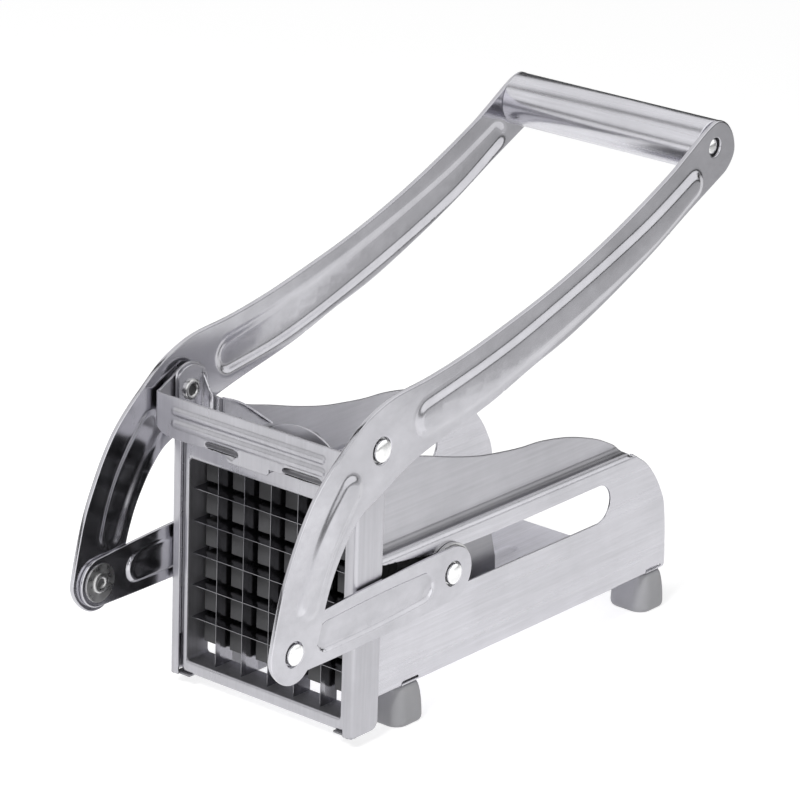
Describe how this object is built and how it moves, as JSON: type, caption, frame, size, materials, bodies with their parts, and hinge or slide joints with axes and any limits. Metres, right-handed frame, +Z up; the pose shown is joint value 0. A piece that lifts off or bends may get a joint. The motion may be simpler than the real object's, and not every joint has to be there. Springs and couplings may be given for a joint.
{
  "type": "french fry cutter",
  "caption": "Hand-lever potato cutter in pressed steel: a forked lever drives a block of square pins through a blade grid in a footed trough.",
  "frame": {"origin": "on the table, under the middle of the tool's bounding box", "axes": "+Z up, +Y from the blade grid to the open rear end under the handle, +X to the right of someone who stands behind the blades and looks along +Y"},
  "size_m": [0.088, 0.233, 0.1735],
  "materials": {
    "body_steel": "fine brushed, satin",
    "arm_steel": "satin, pressed grooves",
    "handle_steel": "drawn tube, semi-polished",
    "blade_steel": "thin ground strips",
    "rivet_steel": "bright domed heads",
    "pusher_plastic": "dark moulded",
    "bushing_plastic": "dark moulded",
    "foot_rubber": "matt grey"
  },
  "bodies": {
    "base": {"body_shell": "body_steel", "guide_channel_left": "body_steel", "guide_channel_right": "body_steel", "header_bracket": "body_steel", "blade_frame": "body_steel", "vertical_blades": "blade_steel", "horizontal_blades": "blade_steel", "main_pivot_rivets": "rivet_steel", "pivot_spacers": "rivet_steel", "foot_front_left": "foot_rubber", "foot_front_right": "foot_rubber", "foot_rear_left": "foot_rubber", "foot_rear_right": "foot_rubber"},
    "lever": {"lever_arm_left": "arm_steel", "lever_arm_right": "arm_steel", "handle_tube": "handle_steel", "handle_plugs": "bushing_plastic", "handle_rivets": "rivet_steel", "lower_pin_heads": "rivet_steel"},
    "carriage": {"pusher_carriage": "body_steel", "pusher_block": "pusher_plastic", "pusher_screws": "rivet_steel", "cross_axle": "rivet_steel", "slot_bushings": "bushing_plastic", "axle_washers": "rivet_steel"},
    "links": {"link_left": "arm_steel", "link_right": "arm_steel", "lower_pin_tails": "rivet_steel", "lower_washers": "rivet_steel"},
    "flap": {"lock_flap": "body_steel"}
  },
  "joints": [
    {"name": "lever_hinge", "type": "hinge", "parent": "base", "child": "lever", "pos_m": [0, -0.06606, 0.1015], "axis": [1, 0, 0], "range_deg": [-6, 70]},
    {"name": "carriage_slide", "type": "slide", "parent": "base", "child": "carriage", "axis": [0, 1, 0], "range_m": [-0.0068, 0.079]},
    {"name": "link_pivot", "type": "hinge", "parent": "carriage", "child": "links", "pos_m": [0, -0.02586, 0.048], "axis": [1, 0, 0], "range_deg": [-3.2, 9]},
    {"name": "flap_hinge", "type": "hinge", "parent": "base", "child": "flap", "pos_m": [0, -0.06606, 0.1015], "axis": [1, 0, 0], "range_deg": [-100, 0]}
  ],
  "couplings": [
    {"joint": "carriage_slide", "follows": "lever_hinge", "m_per_rad": 0.06463},
    {"joint": "link_pivot", "follows": "lever_hinge", "ratio": -0.0026}
  ]
}
